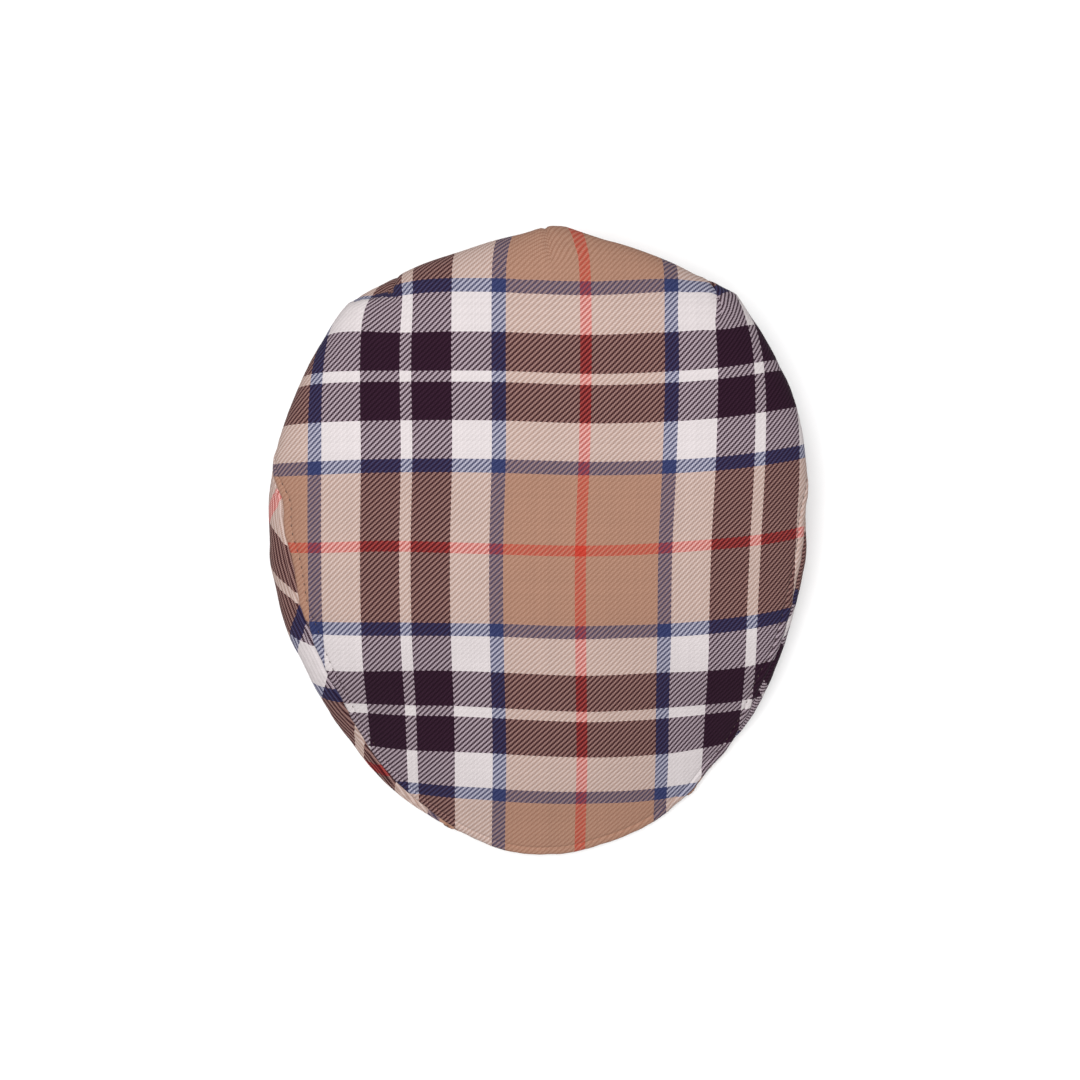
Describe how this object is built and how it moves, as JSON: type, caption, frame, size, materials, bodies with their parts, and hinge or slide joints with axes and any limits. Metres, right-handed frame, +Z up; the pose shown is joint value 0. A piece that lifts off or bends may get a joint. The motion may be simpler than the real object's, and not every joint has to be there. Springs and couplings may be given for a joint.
{
  "type": "flat cap",
  "caption": "Soft flat cap in tartan twill: one-piece top sewn over a stiff peak, deeper side panels at the back, resting on its rim.",
  "frame": {"origin": "centre of the cap's bounding box, on the surface that its rim rests on", "axes": "+Z up, +Y towards the back of the cap, -Y towards the front of the peak, +X towards the right as seen from above with the peak towards the viewer"},
  "size_m": [0.2345, 0.2766, 0.0835],
  "materials": {
    "tartan_top": "matt wool-blend twill woven in camel, white, near-black, navy and red tartan",
    "tartan_side": "the same tartan twill, cut on another grain",
    "tartan_peak": "the same tartan twill, drawn tight over a stiff board"
  },
  "bodies": {
    "root": {"top_panel": "tartan_top", "side_panel_left": "tartan_side", "side_panel_right": "tartan_side", "peak": "tartan_peak"}
  },
  "joints": []
}
